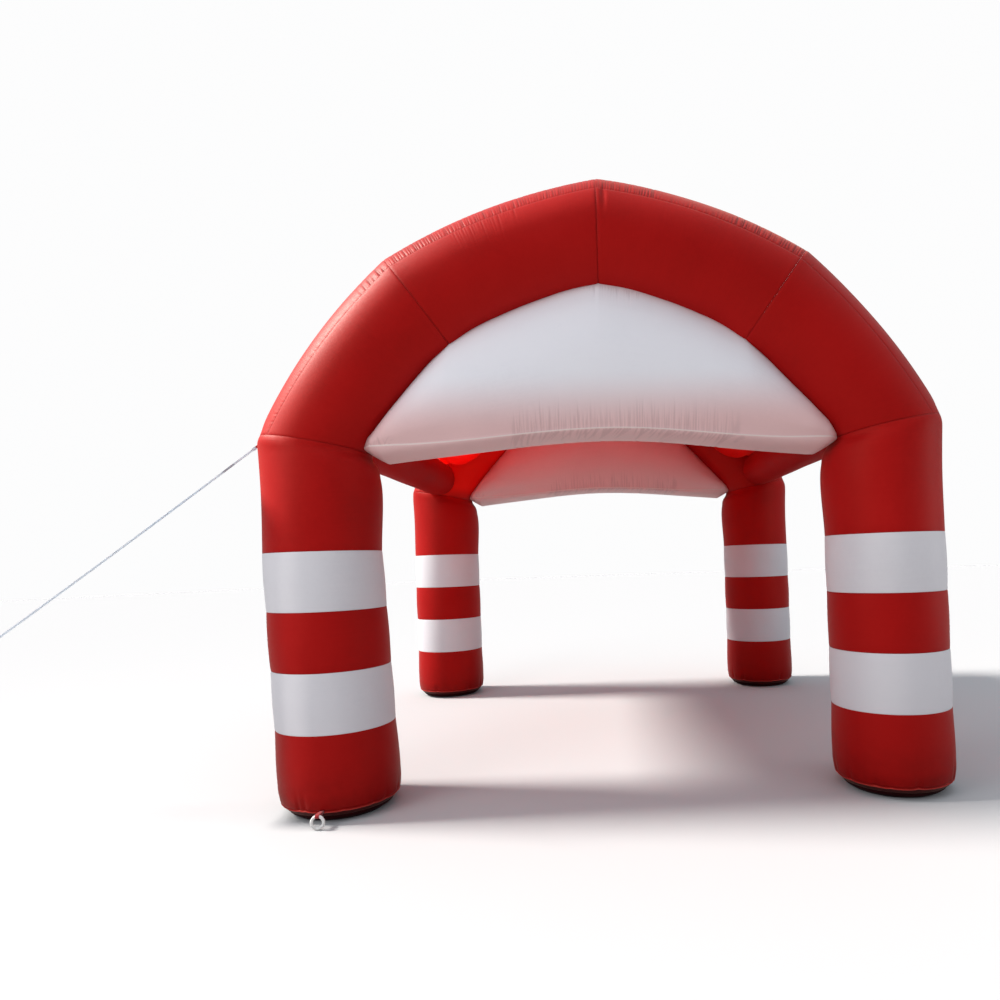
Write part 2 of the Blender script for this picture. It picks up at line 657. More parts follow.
def turn_apart(angle, place):
    """The angle between two directions round a leg."""
    return (angle - place + math.pi) % FULL_TURN - math.pi


for number, (leg, side, end) in enumerate(leg_pieces()):
    gathered = foot_gathers(number)

    def rise(angle):
        lift = np.zeros_like(angle)
        for place, high, wide in zip(*gathered):
            lift += high * fading(np.abs(turn_apart(angle, place)), wide)
        return lift

    def relief(row, angle, length, radius):
        lift = unevenness(np.random.default_rng(300 + number), row, angle, FOOT_UNEVEN)
        lift *= 1 - fading(np.minimum(row, length - row), FOOT_EVEN)
        lift -= LEG_SEAM_DEPTH * fading(length - row, LEG_SEAM_REACH)
        above = row - HEM - rise(angle)
        for place, high, wide in zip(*gathered):
            dent = hump(turn_apart(angle, place), wide) * hump(above, 9 * high)
            lift -= DENT * (high / GATHER_RISE) * dent * np.clip(above / 0.012, 0, 1)
        lift += LIP * np.exp(-(((above - 0.002) / 0.0045) ** 4)) - LIP_GROOVE * hump(above - 0.012, 0.004)
        return lift, np.stack((above, angle * radius, 0 * row), axis=1)

    node = leg + "_foot"
    place, length = tube_place(node, side, end, relief)
    rows = spaced(length, FOOT_STEP, HEM + np.array(NEAR_HEM))
    blown_up(node, rows, AROUND_FOOT, place, foot_cloth, "red_cloth")

    def base_relief(row, angle, length, radius):
        folds = np.zeros_like(row)
        for place, high, wide in zip(*gathered):
            folds -= high * BASE_FOLD * hump(turn_apart(angle, place), 0.7 * wide)
        lift = folds * np.clip(row / length, 0, 1) * (1 - fading(length - row, 0.006))
        return lift, seam_data(row, angle, length, radius, 0 * row)

    node = leg + "_base"
    place, length = tube_place(node, side, end, base_relief)
    blown_up(node, spaced(length, BASE_STEP), AROUND_FOOT, place, base_cloth, "dark_cloth", fill=0.9)


# Upper panels of the legs. Red cloth from the highest white band to the slanting knee seam, where the leg
# leans out to meet the arch. The knee seam is drawn in, with a few gathers below it.
PANEL_UNEVEN = 0.0016
PANEL_EVEN = 0.02
KNEE_SEAM_DEPTH = 0.0030
KNEE_SEAM_REACH = 0.006
KNEE_FILL = 0.009           # how far the cloth fills the inner corner of a knee
KNEE_FILL_REACH = 0.13
# the belly of the cloth just below the inner corner: how far out, how far below the seam, how wide
KNEE_BELLY = (0.021, 0.045, 0.040)
# how far the outer corner of a knee moves in, and down
KNEE_ROUNDING = {LEFT: (0.015, 0.014), RIGHT: (0.024, 0.018)}
KNEE_ROUNDING_REACH = 0.075
KNEE_ABOVE = 0.02           # how far above the outer end of the seam the rounding is centred
AROUND_PANEL = np.linspace(0.0, FULL_TURN, 169)
PANEL_STEP = 0.016          # from row to row
# its gathers below the knee's seam and at the inner corner: start, end, spacing, reach and height
BELOW_KNEE = (0.0, FULL_TURN * 0.37, 0.045, 0.05, 0.0009)
AT_CORNER = (0.02, 0.20, 0.014, 0.045, 0.0030)


def inner_side(angle):
    """1 on the side of a tube that faces into the arch, 0 on its outer side."""
    return hump(angle - math.pi, 0.75)


def knee_rounding(end, side):
    """Rounds the outer corner where a leg's upper panel and its arch tube meet: both take the same move."""
    middles, outwards = rows_of(f"{END_NAMES[end]}_{SIDE_NAMES[side]}_leg_upper_panel", side)[:2]
    corner = middles[-1] + outwards[-1] + KNEE_ABOVE * UP
    inward, down = KNEE_ROUNDING[side]
    move = np.array((-side * inward, 0.0, -down))

    def settle(points):
        off = (points - corner)[:, (0, 2)]
        near = np.exp(-(off ** 2).sum(1) / KNEE_ROUNDING_REACH ** 2)
        return points + near[:, None] * move

    return settle


for number, (leg, side, end) in enumerate(leg_pieces()):
    draw = np.random.default_rng(500 + number)
    below_knee = gather_row(draw, *BELOW_KNEE)
    at_corner = gather_row(draw, *AT_CORNER)

    def relief(row, angle, length, radius):
        below = length - row
        ridges = sum(gathers(angle * radius, below, *gathered) for gathered in (below_knee, at_corner))
        lift = unevenness(np.random.default_rng(520 + number), row, angle, PANEL_UNEVEN) + ridges
        lift *= 1 - fading(np.minimum(row, below), PANEL_EVEN)
        lift -= LEG_SEAM_DEPTH * fading(row, LEG_SEAM_REACH)
        lift -= KNEE_SEAM_DEPTH * fading(below, KNEE_SEAM_REACH)
        full, middle, wide = KNEE_BELLY
        belly = full * hump(below - middle, wide) * (1 - fading(below, 0.010))
        lift += (KNEE_FILL * hump(below, KNEE_FILL_REACH) + belly) * inner_side(angle)
        return lift, seam_data(row, angle, length, radius, ridges)

    node = leg + "_upper_panel"
    place, length = tube_place(node, side, end, relief, knee_rounding(end, side))
    blown_up(node, spaced(length, PANEL_STEP, NEAR_SEAM), AROUND_PANEL, place, red_cloth, "red_cloth")


# Arch tubes. Four mitred tubes to an arch, each sewn of four strips of cloth. The seam along the outer
# strip's edge is shorter than the cloth beside it, which gathers it, most of all on the upper left tube.
SEAM_TURN = math.radians(58)        # from the outward direction to the seam of the outer strip
TUBE_UNEVEN = 0.0018
TUBE_EVEN = 0.008
MITRE_DEPTH = 0.0035
MITRE_REACH = 0.006
MITRE_GATHERS = (0.0, FULL_TURN * 0.36, 0.06, 0.05, 0.0012)    # start, end, spacing, reach, height
INNER_CORNER_FILL = 0.048   # how far the cloth fills the inner corner of a mitre
APEX_FILL = 0.031
INNER_CORNER_REACH = 0.16
LONG_SEAM_DEPTH = 0.0025
LONG_SEAM_WIDTH = 0.004
OUTER, INNER = 1, -1        # the two sides of a long seam
# for each tube, its rows of gathers: start and end share, which side of the seam, spacing, reach, height
TUBE_GATHERS = {
    ("left", "lower"): (
        (0.80, 0.99, OUTER, 0.036, 0.120, -0.0048), (0.0, 0.80, OUTER, 0.024, 0.028, -0.0014),
    ),
    ("left", "upper"): (
        (0.00, 1.00, OUTER, 0.0175, 0.230, -0.0024), (0.30, 0.62, INNER, 0.020, 0.110, -0.0013),
    ),
    ("right", "lower"): ((0.85, 1.00, OUTER, 0.030, 0.050, -0.0014),),
    ("right", "upper"): (
        (0.00, 0.36, OUTER, 0.0175, 0.200, -0.0024), (0.36, 0.72, OUTER, 0.021, 0.080, -0.0014),
        (0.72, 1.00, OUTER, 0.0170, 0.200, -0.0025),
    ),
}
# the dent of the front right upper tube: its distance from the upper seam, its turn from the outward
# direction, its length round the tube, its width along it and its depth
TUBE_DENTS = {("right", "upper"): (0.045, math.radians(68), 0.085, 0.016, 0.007)}
NEAR_LONG_SEAM = np.array((1.0, 2.0, 3.5, 5.5, 8.5, 12.0, 16.0, 21.0))
COARSE_STEP, COARSE_GAP = 6.0, 24    # degrees from row to row round a tube, and how far off its long seams
seam_degrees = [math.degrees(turn) for turn in (SEAM_TURN, FULL_TURN - SEAM_TURN)]
coarse = np.arange(0.0, 361.0, COARSE_STEP)
coarse = coarse[np.min([np.abs(coarse - seam) for seam in seam_degrees], axis=0) > COARSE_GAP]
near_seams = [seam + np.concatenate(([0.0], NEAR_LONG_SEAM, -NEAR_LONG_SEAM)) for seam in seam_degrees]
AROUND_ARCH = np.radians(np.unique(np.round(np.concatenate([coarse] + near_seams), 3)))
ARCH_STEPS = {
    (FRONT, "upper"): 0.0030, (REAR, "upper"): 0.0042, (FRONT, "lower"): 0.0046, (REAR, "lower"): 0.0070,
}
arch_pieces = {FRONT: [], REAR: []}
for end in (FRONT, REAR):
    for (side_name, part), rows_of_gathers in TUBE_GATHERS.items():
        side = LEFT if side_name == "left" else RIGHT
        node = f"{END_NAMES[end]}_arch_{side_name}_{part}"
        seed = 700 + 10 * end + 3 * side + len(part)
        dent = TUBE_DENTS.get((side_name, part)) if end == FRONT else None
        # the fill of the inner corners at the tube's lower and upper end, and its reach
        knee, apex = (KNEE_FILL, KNEE_FILL_REACH), (APEX_FILL, INNER_CORNER_REACH)
        corner = (INNER_CORNER_FILL, INNER_CORNER_REACH)
        fills = (knee, corner) if part == "lower" else (corner, apex)

        def relief(row, angle, length, radius):
            draw = np.random.default_rng(seed)
            turn = np.minimum(angle, FULL_TURN - angle)
            off = (SEAM_TURN - turn) * radius
            nearest = np.minimum(row, length - row)
            lift = unevenness(draw, row, angle, TUBE_UNEVEN)
            ridges = np.zeros_like(row)
            for share_start, share_end, strip, spacing, reach, tall in rows_of_gathers:
                for half in (angle < math.pi, angle >= math.pi):
                    start, finish = share_start * length, share_end * length
                    gathered = gather_row(draw, start, finish, spacing, reach, tall, 0.03)
                    ridges += np.where(half, gathers(row, off * strip, *gathered), 0.0)
            for edge in (row, length - row):
                mitre = gather_row(draw, *MITRE_GATHERS)
                ridges += gathers(angle * radius, edge, *mitre)
            if dent:
                from_top, place_turn, long, wide, deep = dent
                run = hump(length - row - from_top, wide)
                lift -= deep * run * hump((angle - place_turn) * radius, long)
            lift -= LONG_SEAM_DEPTH * fading(np.abs(off), LONG_SEAM_WIDTH)
            lift = (lift + ridges) * (1 - fading(nearest, TUBE_EVEN))
            lift -= MITRE_DEPTH * fading(nearest, MITRE_REACH)
            for edge, (fill, reach) in zip((row, length - row), fills):
                lift += fill * inner_side(angle) * hump(edge, reach)
            long_seam = np.abs(off) < nearest
            across = np.where(long_seam, np.abs(off), nearest)
            along = np.where(long_seam, row, angle * radius)
            return lift, np.stack((across, along, ridges), axis=1)

        settle = knee_rounding(end, side) if part == "lower" else None
        place, length = tube_place(node, side, end, relief, settle)
        rows = spaced(length, ARCH_STEPS[end, part], NEAR_SEAM)
        arch_pieces[end].append(blown_up(node, rows, AROUND_ARCH, place, red_cloth, "red_cloth"))


def tree_of(pieces):
    """The surfaces of some pieces, to find where a neighbour meets them."""
    build = bmesh.new()
    for piece in pieces:
        build.from_mesh(piece.data)
    found = BVHTree.FromBMesh(build)
    build.free()
    return found


arch_trees = {}
for end in (FRONT, REAR):
    tops = [bpy.data.objects[f"{END_NAMES[end]}_{name}_leg_upper_panel_cloth"] for name in ("left", "right")]
    arch_trees[end] = tree_of(arch_pieces[end] + tops)


# Gables. A white, air-filled panel under each arch: two crowned faces, a strip that closes them along the
# bottom, and a welt on each edge of the strip. The welts gather the cloth in the middle and at the corners.
ROSY = (0.93, 0.52, 0.47, 1)
ROSY_LOW, ROSY_INSIDE = 0.74, 0.76    # how strong the rosy cast is low down, and on the inner faces
INSIDE = 1.86               # how far from the tent's middle the inner faces reach


def gable_blush(spot, flat):
    """Where the white cloth takes a cast from the red cloth round it: low down and on the inner faces."""
    low = spot.part(2).between(2.80, 2.42) * ROSY_LOW
    inside = abs(spot.part(1)).between(INSIDE + 0.14, INSIDE)
    return low * (1 - inside) + inside * ROSY_INSIDE


gable_cloth = cloth(
    "white_gable_cloth", ((0.72, 0.71, 0.76, 1), (0.85, 0.85, 0.90, 1), (0.89, 0.89, 0.93, 1)),
    (0.70, 0.69, 0.72, 1), 0.46, soil=0.0, casts=((gable_blush, ROSY, "MULTIPLY"),),
    bead=(0.86, 0.72, 0.68, 1),
)
GABLE_HALF_DEPTH = 0.19
GABLE_UNEVEN = 0.0016
GABLE_EVEN = 0.15           # how near its welt a face is even
SMOOTH_TIP = 0.04           # how near a corner's tip the cloth is smooth
WELT_MIDDLE = 2.428
WELT_SPAN = 1.35
WELT_DROP = {(LEFT, FRONT): 0.068, (RIGHT, FRONT): 0.100, (LEFT, REAR): 0.068, (RIGHT, REAR): 0.068}
STRIP_HANG = 0.045          # how far the strip hangs below its welts
CORNER_HANG = 0.035         # how much further at the corners
STRIP_ROUND = 0.21          # the way round the strip from its lowest line to a welt
STRIP_DOWN = 0.20           # how much of it the gathers run down
TIP_HEIGHT = 0.05
TIP_LENGTH = 0.15           # the strip narrows to a point over this length
TIP_RISE = 0.4 * TIP_LENGTH
GABLE_LIFT = 0.06           # how far into the arch its faces are drawn before they are cut at the cloth
WELT_RADIUS = 0.0035
WELT_HALF = 1.3 * WELT_RADIUS
STRIP_SLANT = 0.35
TUCK_DEPTH = 0.006          # how deep a face is tucked in along the arch
TUCK_REACH = 0.007
TUCK_START = 0.1            # how far from a corner's tip the tuck is full
TUCK_SHADE = 0.0024         # how deep a gather would be as dark as the tuck
# places across the tent from each corner's tip to where the panel is full, and how full it is there
CORNER_XS = {LEFT: (-1.615, -1.590, -1.535, -1.42), RIGHT: (1.580, 1.550, 1.495, 1.38)}
CORNER_DEPTHS = (0.22, 0.60, 0.90, 1.0)
FACE_HEIGHTS = np.array((0.0, 0.20, 0.48, 0.78, 1.0))
FACE_DEPTHS = np.array((1.0, 0.95, 0.85, 0.70, 0.55))
FACE_BULGES = np.array((0.0, 0.080, 0.125, 0.090, 0.0))
FACE_ROWS, STRIP_ROWS, TOP_ROWS = 36, 9, 5
ROW_CROWDING = 1.25         # how much closer the rows of a face lie near its welt
GABLE_COLUMNS = {FRONT: (110, 300, 40), REAR: (110, 170, 30)}    # in all, in the middle, at the left corner
GABLE_MIDDLE, LEFT_CORNER = (-0.85, 0.85), (-1.61, -1.40)
SECTION = 5                 # the parts of its closed section: strip, face, top, face, strip
HALVINGS = 11
# the rows of gathers above and below the welts, at the arch's peak and at the left corner: start, end,
# spacing, reach, height and slant
GABLE_GATHERS = (
    (-0.60, 0.92, 0.016, 0.14, -0.0040, 0.05), (-0.60, 0.95, 0.024, 0.16, -0.0050, 0.3),
    (-0.10, 0.28, 0.017, 0.085, -0.0030, 0.05), (-1.58, -1.40, 0.014, 0.08, -0.0026, 0.9),
)
SEAM_CLEARANCE = 0.0012     # between two sewn pieces at their seam
CAP_CLEARANCE = 0.004       # between them behind the seam


def arch_underside(end):
    """The lower edge of an arch's solid tubes, across the tent: places across and heights."""
    edge = []
    for side in (LEFT, RIGHT):
        for part in ("lower", "upper"):
            middles, outwards = rows_of(f"{END_NAMES[end]}_arch_{SIDE_NAMES[side]}_{part}", side)[:2]
            edge += [(inner[0], inner[2]) for inner in middles - outwards]
    edge = np.array(sorted(edge))
    return edge[:, 0], edge[:, 1]


for end in (FRONT, REAR):
    low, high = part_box(f"{END_NAMES[end]}_gable")
    middle_y = (low.y + high.y) / 2
    shift = low.x - CORNER_XS[LEFT][0]
    edge_x, edge_z = arch_underside(end)

    def welt_height(x):
        drop = np.where(x > 0, WELT_DROP[RIGHT, end], WELT_DROP[LEFT, end])
        return WELT_MIDDLE - drop * (1 - np.cos(math.pi * np.minimum(1.0, np.abs(x) / WELT_SPAN))) / 2

    def to_tip(x):
        """The distance to the nearer corner tip."""
        return np.minimum(x - CORNER_XS[LEFT][0], CORNER_XS[RIGHT][0] - x)

    def column(x):
        """The faces' upper edge, fullness and depth at a place across the panel."""
        welt = welt_height(x)
        tip = TIP_HEIGHT * np.clip(to_tip(x) / TIP_RISE, 0.08, 1.0)
        top = np.maximum(np.interp(x + shift, edge_x, edge_z), welt + tip)
        tallest = edge_z.max() - WELT_MIDDLE
        full = np.sqrt(np.clip((top - welt) / tallest, 0.0, 1.0))
        stations = (*CORNER_XS[LEFT], *CORNER_XS[RIGHT][::-1])
        depth = np.interp(x, stations, (*CORNER_DEPTHS, *CORNER_DEPTHS[::-1]))
        return welt, top, full, depth

    def face_point(x, share, sign):
        """A point of a face, from its welt at share 0 to inside the arch at share 1."""
        welt, top, full, depth = column(x)
        out = np.interp(share, FACE_HEIGHTS, FACE_DEPTHS) * GABLE_HALF_DEPTH
        out = out + drawn_through(FACE_HEIGHTS, FACE_BULGES, share) * full
        height = welt + share * (top + GABLE_LIFT - welt)
        return np.stack((x + shift, middle_y + sign * depth * out, height), axis=-1)

    def meeting(x, sign):
        """How far up a face runs before it meets the arch."""
        inside, outside = 1.0, 0.05
        for _ in range(HALVINGS):
            share = (inside + outside) / 2
            point = Vector(face_point(np.array([x]), np.array([share]), sign)[0])
            near, normal = arch_trees[end].find_nearest(point)[:2]
            if (point - near).dot(normal) < SEAM_CLEARANCE:
                inside = share
            else:
                outside = share
        return outside

    whole, middle, corner = GABLE_COLUMNS[end]
    columns = np.unique(np.round(np.concatenate((
        np.linspace(CORNER_XS[LEFT][0], CORNER_XS[RIGHT][0], whole),
        np.linspace(*GABLE_MIDDLE, middle), np.linspace(*LEFT_CORNER, corner),
    )), 5))
    meetings = {sign: np.array([meeting(x, sign) for x in columns]) for sign in (-1, 1)}
    draw = np.random.default_rng(900 + end)
    above_welt, below_welt, at_apex, at_corner = (gather_row(draw, *values) for values in GABLE_GATHERS)
    strip_rows, top_rows = np.linspace(0, 1, STRIP_ROWS), np.linspace(0, 1, TOP_ROWS)
    face_rows = np.linspace(0, 1, FACE_ROWS + 1) ** ROW_CROWDING
    round_rows = np.concatenate((
        strip_rows, 1 + face_rows[1:], 2 + top_rows[1:], 4 - face_rows[:-1][::-1], 4 + strip_rows[1:],
    ))

    def place(x, t):
        """The closed section: front strip, front face, top inside the arch, back face, back strip."""
        front = t <= SECTION / 2
        sign = np.where(front, end, -end).astype(float)
        share = np.where(front, t, SECTION - t)
        welt, top, _, depth = column(x)
        climb = {key: np.interp(x, columns, values) for key, values in meetings.items()}
        reach = np.where(sign < 0, climb[-1], climb[1])
        height = np.clip(share - 1, 0, 1) * reach
        points = np.where(sign[:, None] < 0, face_point(x, height, -1.0), face_point(x, height, 1.0))
        hang = STRIP_HANG + CORNER_HANG * (x / WELT_SPAN) ** 4
        hang *= np.clip(to_tip(x) / TIP_LENGTH, 0.02, 1.0)
        arc = np.clip(share, 0, 1) * math.pi / 2
        strip = share < 1
        points[strip, 1] = (middle_y + sign * depth * GABLE_HALF_DEPTH * np.sin(arc))[strip]
        points[strip, 2] = (welt - hang * np.cos(arc))[strip]
        on_top = share > 2
        lean = np.clip(share - 2, 0, 1)[:, None]
        ends = {key: face_point(x, climb[key], float(key)) for key in (-1, 1)}
        points[on_top] = (ends[end] * (1 - lean) + ends[-end] * lean)[on_top]
        for index in np.flatnonzero(share > 2.01):
            under = Vector((points[index, 0], points[index, 1], welt[index]))
            hit = arch_trees[end].ray_cast(under, Vector((0.0, 0.0, 1.0)))[0]
            if hit:
                points[index, 2] = min(points[index, 2], hit.z - CAP_CLEARANCE)
        up = height * (top + GABLE_LIFT - welt)
        on_face = (share >= 1) & (share <= 2)
        below_top = np.abs(reach - height) * (top - welt)
        ridges = gathers(x, np.where(share >= 1, up + 0.002, -1.0), *above_welt)
        down = (1 - share) * STRIP_DOWN
        ridges += gathers(x + STRIP_SLANT * down, np.where(strip, down + 0.001, -1.0), *below_welt)
        ridges += gathers(x, np.where(on_face, below_top + 0.001, -1.0), *at_apex)
        ridges += gathers(x, np.where(share >= 1, up + 0.002, -1.0), *at_corner)
        slow = unevenness(np.random.default_rng(930 + end), x, share, GABLE_UNEVEN)
        slow *= np.clip(up / GABLE_EVEN, 0, 1)
        lift = (ridges + slow) * np.clip(to_tip(x) / SMOOTH_TIP, 0, 1) * ~on_top
        tucked = hump(below_top, TUCK_REACH) * (share >= 1) * np.clip(to_tip(x) / TUCK_START, 0, 1)
        lift -= TUCK_DEPTH * tucked
        welt_off = np.where(strip, (1 - share) * STRIP_ROUND, up)
        lift += WELT_RADIUS * np.sqrt(np.clip(1 - (welt_off / WELT_HALF) ** 2, 0, 1))
        points[:, 1] += sign * lift * np.where(strip, np.sin(arc), 1.0)
        points[:, 2] -= lift * np.where(strip, np.cos(arc), 0.0)
        seam = np.stack((np.minimum(welt_off, below_top + 0.010), x, ridges - TUCK_SHADE * tucked), axis=1)
        return points, np.stack((x, share * 0.6), axis=1), seam

    node = f"{END_NAMES[end]}_gable"
    blown_up(node, columns, round_rows, place, gable_cloth, "white_cloth", fill=0.9)


# Eave beams. A slim round tube of red cloth joins the knees of the front and the rear arch on each side.
# Each end is cut to the arch's cloth and sewn to it, with a drawn-in seam and light gathers.
BEAM_SWELL = 0.006          # how much further the middle swells than the ends
BEAM_ANGLES = 73            # places round it
RUN_STEP = 0.045            # from row to row away from its ends
NEAR_END = (*NEAR_SEAM, 0.04, 0.055, 0.075, 0.10, 0.13)
END_GATHERS = (0.05, 0.09, 0.0022)    # the spacing, reach and height of the gathers at its ends
RUN_UNEVEN = 0.0025
RUN_EVEN = 0.03
EDGE_TURNS = (math.pi / 2, 3 * math.pi / 2)    # where round a pillow its thin edges are
EDGE_THICK = 0.006          # how far round to each side of them it is thin
EVEN_NEAR_EDGE = 0.2        # how near its edges a pillow is even
END_DRAW = 0.008            # how far the seam to the arch draws the end in
END_REACH = 0.012
CAP_SHARES = (0.92, 0.80, 0.60, 0.40, 0.20, 0.0)    # rings of a closed end, as shares of its outline
beam_cloth = cloth("red_beam_cloth", RED_SHADES, RED_STITCH, 0.6, gloss=0.03, shine=RED_SHINE)


def drawn_in(share, nearest, swell):
    """How far the outline of a beam or pillow is drawn in towards its ends."""
    return swell * (1 - np.sin(math.pi * share)) + END_DRAW * fading(nearest, END_REACH)


def run_piece(node, middle, thick, wide, swell, steps, seed, finish, sewn=()):
    """A beam or pillow between the two arches, whose section has the half axes thick and wide. sewn holds,
    for each thin edge, the point across the tent that it reaches to, and the way to the beam under it."""
    tips = [turn + near for turn in EDGE_TURNS[:len(sewn)] for near in (-EDGE_THICK, 0.0, EDGE_THICK)]
    angles = np.unique(np.round(np.concatenate((np.linspace(0.0, FULL_TURN, steps), tips)), 5))
    middle = np.array(middle)
    size = [np.linalg.norm(axis) for axis in (thick, wide)]

    def section(angle, lift):
        """Points of the section about its middle, lifted off it."""
        normal = around(angle, thick / size[0] ** 2, wide / size[1] ** 2)
        normal /= np.linalg.norm(normal, axis=1)[:, None]
        return around(angle, thick, wide) + lift[:, None] * normal

    outline = section(angles, -drawn_in(np.zeros(len(angles)), 0.0, swell))
    for turn, (edge, toward) in zip(EDGE_TURNS, sewn):
        outline[np.abs(angles - turn) < 1e-4] = edge + toward * drawn_in(0.0, 0.0, BEAM_SWELL) - middle
    ends = {}
    for end in (FRONT, REAR):
        for share in (1.0, *CAP_SHARES):
            clear = SEAM_CLEARANCE if share == 1.0 else CAP_CLEARANCE
            starts = [Vector(start) for start in middle + share * outline]
            hits = [arch_trees[end].ray_cast(start, Vector((0.0, float(end), 0.0)))[0] for start in starts]
            ends[end, share] = np.array([hit.y - end * clear for hit in hits])
    radius = sum(size) / 2
    length = float(ends[REAR, 1.0].mean() - ends[FRONT, 1.0].mean())
    draw = np.random.default_rng(seed)
    rows_of_gathers = [gather_row(draw, 0.0, FULL_TURN * radius, *END_GATHERS) for _ in range(2)]

    def place(row, angle):
        """Rows below 0 or past the length are the rings of the closed ends."""
        row, past = np.clip(row, 0.0, length), np.maximum(np.maximum(-row, row - length), 0.0)
        near_end, far_end = (np.interp(angle, angles, ends[end, 1.0]) for end in (FRONT, REAR))
        share = row / length
        y = near_end + share * (far_end - near_end)
        nearest = np.minimum(row, length - row)
        ridges = end_gathers(row, length, angle * radius, rows_of_gathers)
        lift = unevenness(np.random.default_rng(seed + 1), row, angle, RUN_UNEVEN) + ridges
        lift *= 1 - fading(nearest, RUN_EVEN)
        if sewn:
            lift *= 1 - hump(np.cos(angle), EVEN_NEAR_EDGE)
        lift -= drawn_in(share, nearest, swell)
        out = section(angle, lift)
        for turn, (edge, toward) in zip(EDGE_TURNS, sewn):
            at_edge = np.abs(angle - turn) < 1e-4
            laid = drawn_in(share[at_edge], nearest[at_edge], BEAM_SWELL)
            out[at_edge] = edge + laid[:, None] * toward - middle
        points = middle + (1 - past)[:, None] * out
        for cap in CAP_SHARES:
            capped = np.abs(1 - past - cap) < 1e-4
            for end, at_end in ((FRONT, row < length / 2), (REAR, row > length / 2)):
                y = np.where(capped & at_end, np.interp(angle, angles, ends[end, cap]), y)
        points[:, 1] = y
        flat = np.stack((angle * radius, row), axis=1)
        return points, flat, np.stack((nearest, angle * radius, ridges), axis=1)

    rows = spaced(length, RUN_STEP, NEAR_END)
    caps = 1 - np.array(CAP_SHARES)
    rows = np.concatenate((-caps[::-1], rows, length + caps))
    blown_up(node, rows, angles, place, finish, "red_cloth")


for side in (LEFT, RIGHT):
    node = SIDE_NAMES[side] + "_eave_beam"
    low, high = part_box(node)
    thick, wide = (high.z - low.z) / 2 * np.array(((0, 0, 1), (1, 0, 0)))
    run_piece(node, (low + high) / 2, thick, wide, BEAM_SWELL, BEAM_ANGLES, 1000 + side, beam_cloth)


# Roof pillows. Six wide, flat tubes of red cloth lie side by side over the tent from arch to arch. They are
# sewn to the arches at their ends, and along thin edges to each other and to the eave beams.
# for each pillow of a side, the arch tube that its middle lies on, how far along, and half its width
PILLOWS = {1: ("lower", 0.655, 0.383), 2: ("upper", 0.255, 0.322), 3: ("upper", 0.752, 0.320)}
PILLOW_HALF_THICKNESS = 0.23
PILLOW_RAISED = 0.04        # how far its middle lies outside the middle of the arch tube
PILLOW_SWELL = 0.004
PILLOW_ANGLES = 65
LAP_TURN = 0.12             # how far round the beam the lowest pillow's edge reaches
LAP_CLEARANCE = 0.003
LAP_SHARE = 0.20            # how far an edge reaches past the middle of the gap between two pillows
LAP_RISE = 0.0015
ROOF = [(LEFT, 1), (LEFT, 2), (LEFT, 3), (RIGHT, 3), (RIGHT, 2), (RIGHT, 1)]
roof_cloth = cloth(
    "red_roof_cloth", ((0.30, 0.002, 0.003, 1), (0.50, 0.005, 0.006, 1), (0.60, 0.012, 0.012, 1)),
    RED_STITCH, 0.44, passing=(0.64, (0.96, 0.045, 0.03, 1)), shine=RED_SHINE,
)


def pillow_axes(side, number):
    """A pillow's middle, its half thickness up and its half width to the left."""
    part, share, half_width = PILLOWS[number]
    middles, outwards = rows_of(f"front_arch_{SIDE_NAMES[side]}_{part}", side)[:2]
    run = lengths(middles)
    place_on_arch = np.array([share * run[-1]])
    outward = drawn_through(run, outwards, place_on_arch)[0]
    outward /= np.linalg.norm(outward)
    middle = drawn_through(run, middles, place_on_arch)[0] + PILLOW_RAISED * outward
    middle[1] = 0.0
    return middle, PILLOW_HALF_THICKNESS * outward, half_width * np.cross(outward, BACK)


def eave_edge(side, tip):
    """Where the lowest pillow's edge laps the eave beam's outside, and the way from there to its axis."""
    low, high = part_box(SIDE_NAMES[side] + "_eave_beam")
    axis = np.array(((low.x + high.x) / 2, 0.0, (low.z + high.z) / 2))
    off = (tip - axis) / np.linalg.norm(tip - axis)
    turned = off * math.cos(LAP_TURN) + side * np.cross(BACK, off) * math.sin(LAP_TURN)
    return axis + turned * ((high.z - low.z) / 2 + LAP_CLEARANCE), -turned


def lapped_edges(one, other):
    """Where the facing edges of two pillows reach, so that one laps the other between their tips."""
    gap = other - one
    above = np.cross(gap / np.linalg.norm(gap), BACK) * LAP_RISE
    middle, no_beam = (one + other) / 2, np.zeros(3)
    return (middle + LAP_SHARE * gap - above, no_beam), (middle - LAP_SHARE * gap + above, no_beam)


axes = [pillow_axes(side, number) for side, number in ROOF]
left_tips = [middle + wide for middle, _, wide in axes]
right_tips = [middle - wide for middle, _, wide in axes]
laps = [lapped_edges(one, other) for one, other in zip(right_tips, left_tips[1:])]
left_edges = [eave_edge(LEFT, left_tips[0]), *(after for _, after in laps)]
right_edges = [*(before for before, _ in laps), eave_edge(RIGHT, right_tips[-1])]
for (side, number), (middle, thick, wide), *sewn in zip(ROOF, axes, left_edges, right_edges):
    node = f"{SIDE_NAMES[side]}_roof_pillow_{number}"
    seed = 1100 + 10 * number + side
    run_piece(node, middle, thick, wide, PILLOW_SWELL, PILLOW_ANGLES, seed, roof_cloth, sewn)


